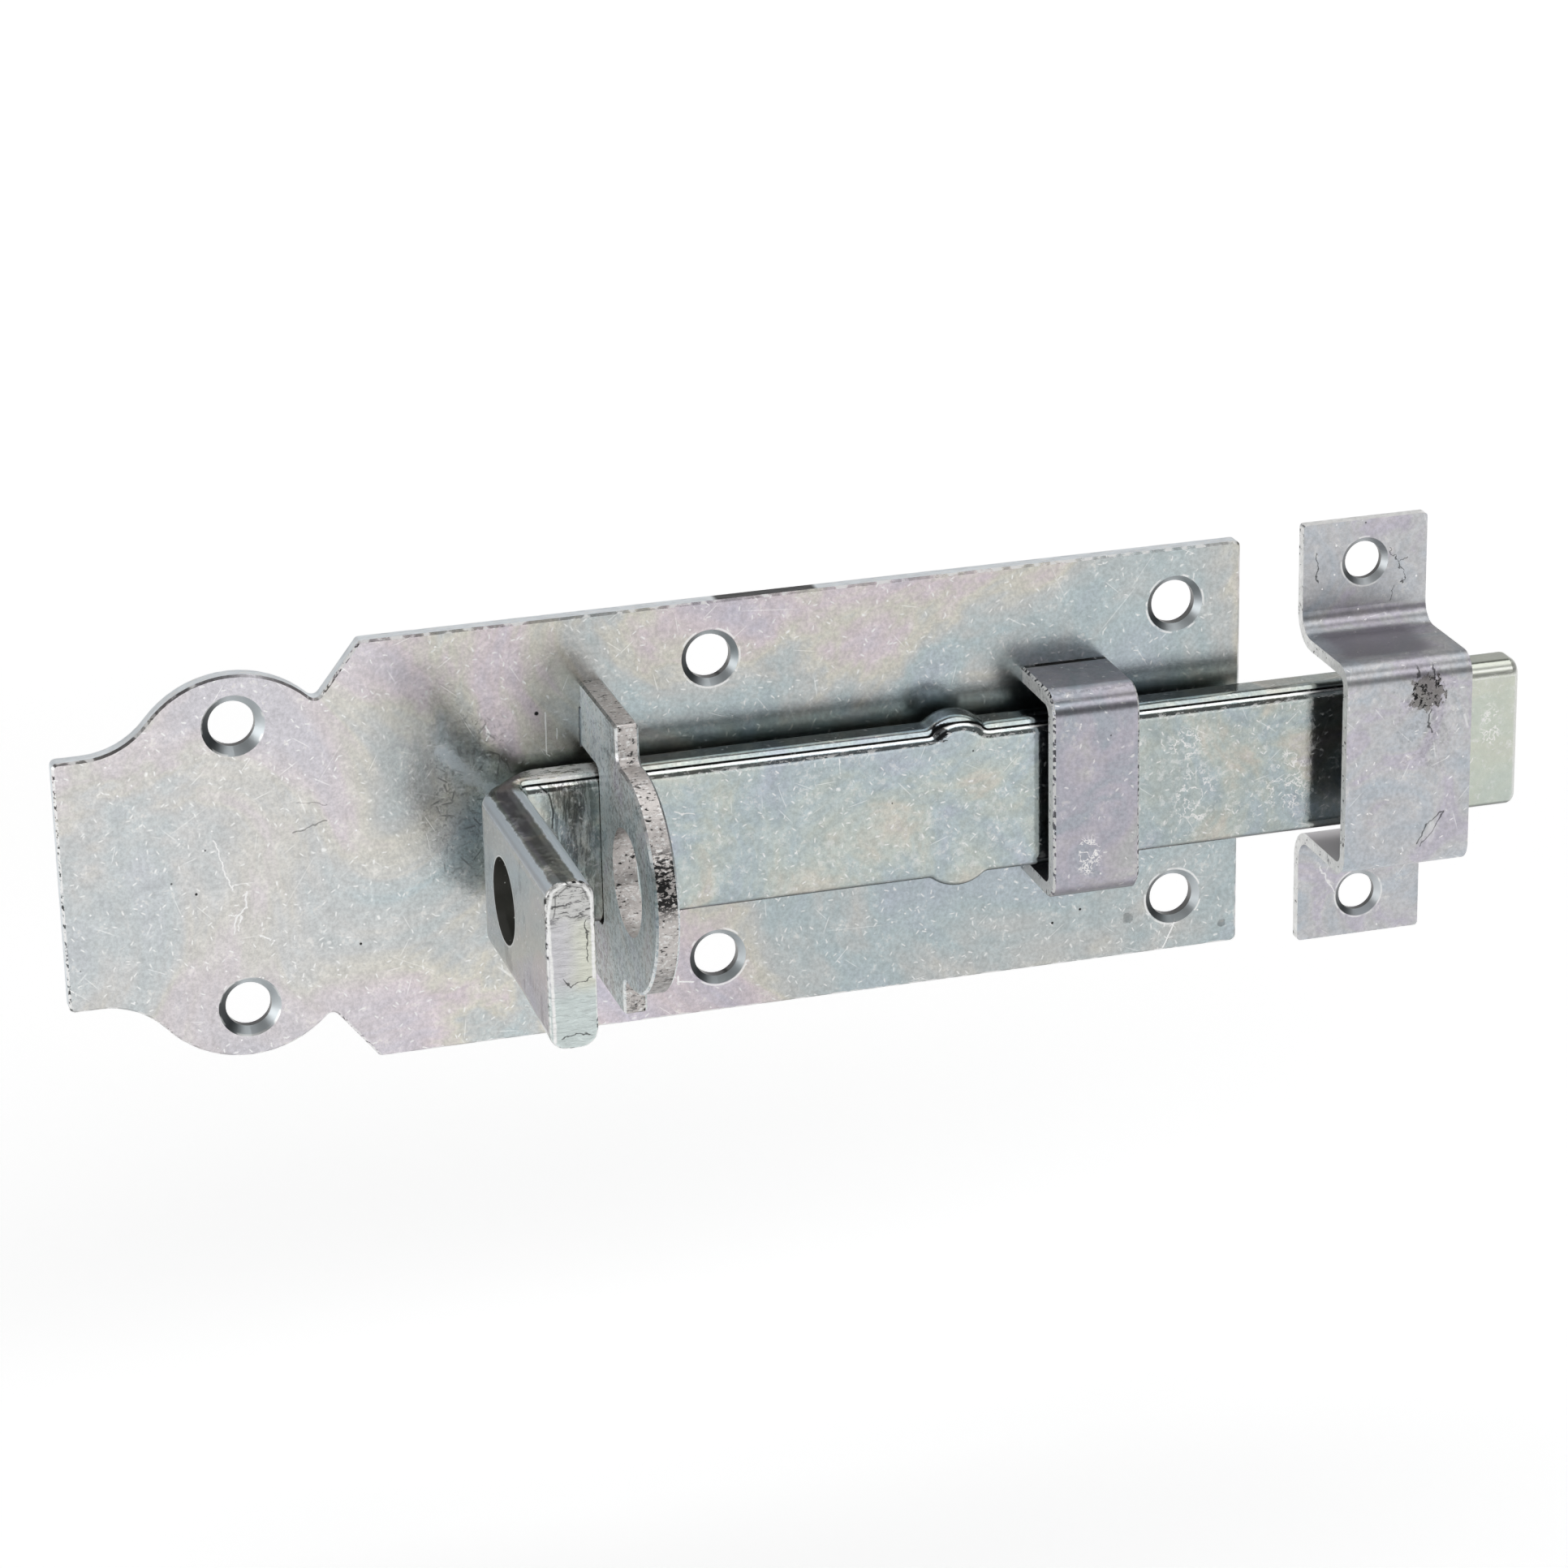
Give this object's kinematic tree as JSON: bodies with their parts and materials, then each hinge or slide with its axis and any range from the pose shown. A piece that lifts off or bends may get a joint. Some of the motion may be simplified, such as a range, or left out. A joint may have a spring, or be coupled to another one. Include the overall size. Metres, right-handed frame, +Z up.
{
  "type": "padbolt",
  "caption": "Straight padbolt: a flat steel bolt with a bent handle slides through a staple and a strap on a screwed back plate into a separate keeper, and takes a padlock.",
  "frame": {"origin": "on the back plate's back face, midway between its middle pair of screw holes", "axes": "+X along the bolt, the way it is thrown into the keeper; -Y out from the door, so +Y points into the door; +Z up"},
  "size_m": [0.1887, 0.0436, 0.0573],
  "materials": {
    "back_plate": "zinc plated and passivated, satin",
    "staple": "zinc plated and passivated, satin, stamped edges rough",
    "strap": "zinc plated and passivated, satin",
    "bolt": "zinc plated and passivated, satin, sheared ends rough",
    "keeper": "zinc plated and passivated, satin"
  },
  "bodies": {
    "fixed_ironwork": {"back_plate": "back_plate", "staple": "staple", "strap": "strap", "keeper": "keeper"},
    "sliding_bolt": {"bolt": "bolt"}
  },
  "joints": [
    {"name": "bolt_slide", "type": "slide", "parent": "fixed_ironwork", "child": "sliding_bolt", "axis": [1, 0, 0], "range_m": [-0.04, 0.0092]}
  ]
}
